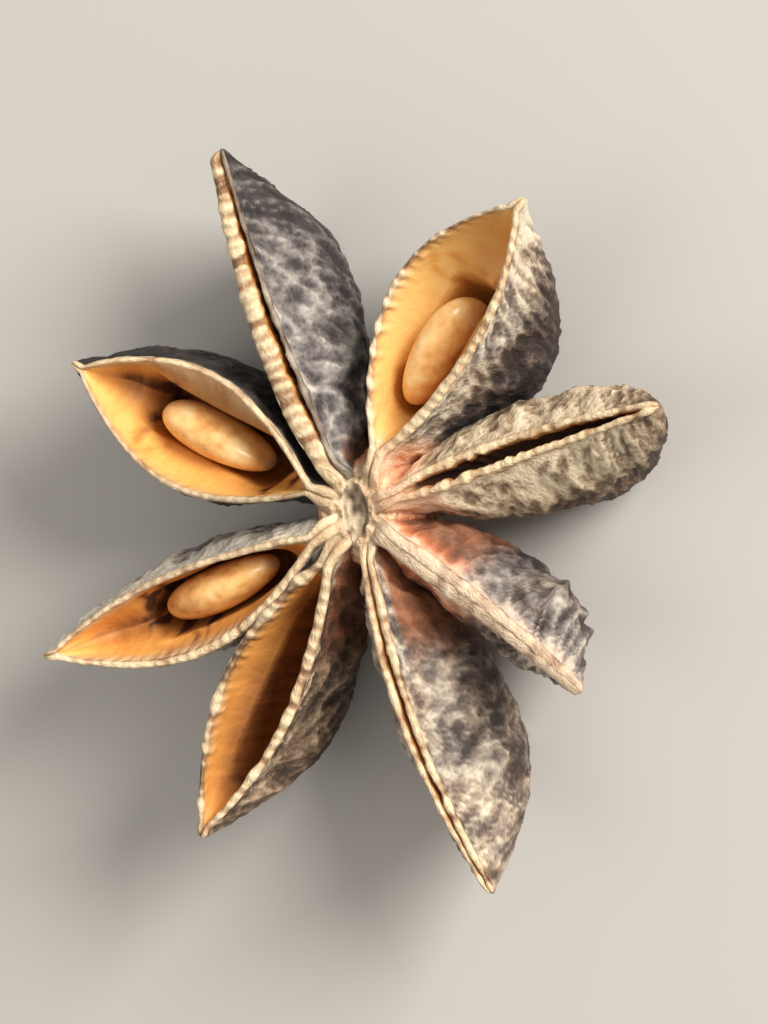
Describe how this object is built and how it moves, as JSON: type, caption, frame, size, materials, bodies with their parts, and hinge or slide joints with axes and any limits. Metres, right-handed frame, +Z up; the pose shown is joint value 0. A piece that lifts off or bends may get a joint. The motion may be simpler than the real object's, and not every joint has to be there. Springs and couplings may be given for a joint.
{
  "type": "star anise pod",
  "caption": "Dried star anise pod for cooking: woody, boat-shaped follicles in a star round a short column, some split open to show a glossy amber seed.",
  "frame": {"origin": "centre of the stalk's broken flat end, on the plane the pod lies on, below the pit in the middle of the star", "axes": "+Z up, along the column, from the stalk to the seams; +Y along the star's longer spread, towards the slender closed follicle; +X towards the shorter side"},
  "size_m": [0.0301, 0.0323, 0.0088],
  "materials": {
    "husk": "matt and wrinkled outside, smooth and orange-brown inside",
    "seed": "glossy"
  },
  "bodies": {
    "root": {"pod": "husk", "seed_1": "seed", "seed_2": "seed", "seed_3": "seed"}
  },
  "joints": []
}
